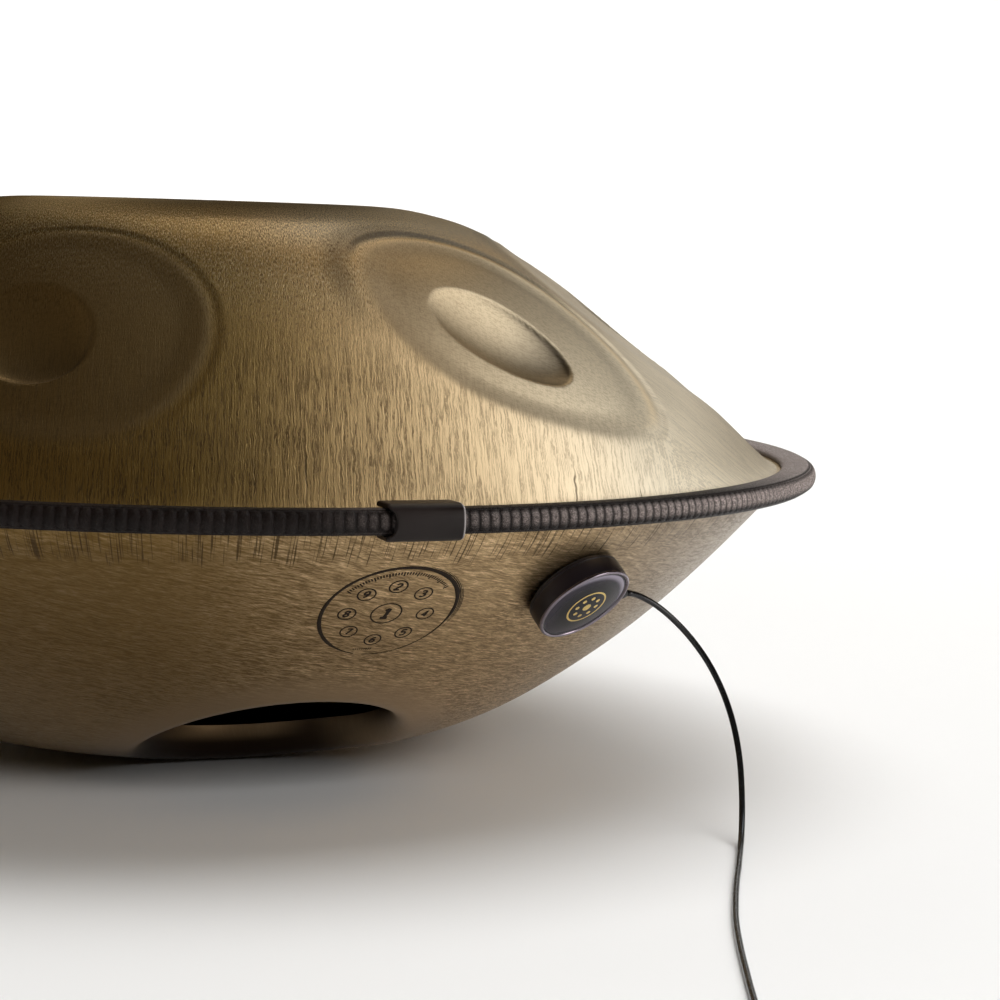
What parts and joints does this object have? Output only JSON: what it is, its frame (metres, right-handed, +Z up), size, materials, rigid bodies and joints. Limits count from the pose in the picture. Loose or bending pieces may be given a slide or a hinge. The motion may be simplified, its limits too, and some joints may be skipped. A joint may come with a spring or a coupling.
{
  "type": "handpan",
  "caption": "Lens-shaped steel handpan with oval tone fields, a ribbed rim cover, a sound port and a round magnetic pickup with a coiled cable.",
  "frame": {"origin": "on the resting surface, under the pan's axis, with the pan's base, cable and plug at z = 0 or above", "axes": "+Z up along the pan's axis, -Y towards the side with the sound port, +X to the right of it, towards the pickup"},
  "size_m": [0.56, 0.8602, 0.2445],
  "materials": {
    "shell_steel_top": "brushed bronze-gold heat tint",
    "shell_steel_bottom": "brushed bronze-brown heat tint",
    "adhesive": "cured epoxy",
    "spring_steel": "bare spring steel",
    "cover_leatherette": "ribbed black leatherette",
    "sleeve_rubber": "semi-matt rubber",
    "pad_rubber": "matt",
    "dark_plastic": "matt",
    "nickel": "nickel plate",
    "screw_steel": "zinc plate",
    "brass": "bare",
    "ceramic": "fired ceramic",
    "foam": "closed-cell foam",
    "lead_insulation": "smooth",
    "housing_black": "black anodised",
    "bezel_metal": "turned",
    "badge_gloss": "domed resin",
    "gold_foil": "gold foil",
    "cable_jacket": "glossy",
    "tie_strap": "hook-and-loop"
  },
  "bodies": {
    "pan": {"top_shell": "shell_steel_top", "bottom_shell": "shell_steel_bottom", "flange_adhesive": "adhesive", "rim_clip_strip": "spring_steel", "rim_cover": "cover_leatherette", "rim_joint_sleeve": "sleeve_rubber", "pickup_cable": "cable_jacket", "cable_coil": "cable_jacket", "coil_tie": "tie_strap", "cable_tail": "cable_jacket", "plug_boot": "pad_rubber", "plug_barrel": "housing_black", "plug_sleeve_contact": "nickel", "plug_insulator": "dark_plastic", "plug_tip_contact": "nickel"},
    "pickup": {"contact_pad": "pad_rubber", "pickup_base_plate": "dark_plastic", "pickup_magnets": "nickel", "base_screws": "screw_steel", "piezo_disc": "brass", "piezo_ceramic": "ceramic", "damping_foam": "foam", "signal_leads": "lead_insulation", "pickup_housing": "housing_black", "pickup_bezel": "bezel_metal", "badge_plate": "dark_plastic", "badge_dome": "badge_gloss", "badge_emblem": "gold_foil", "cable_grommet": "pad_rubber", "cable_end": "cable_jacket"}
  },
  "joints": [
    {"name": "pickup_pull", "type": "slide", "parent": "pan", "child": "pickup", "axis": [0.4535, -0.566, -0.6885], "range_m": [0, 0.025]}
  ]
}
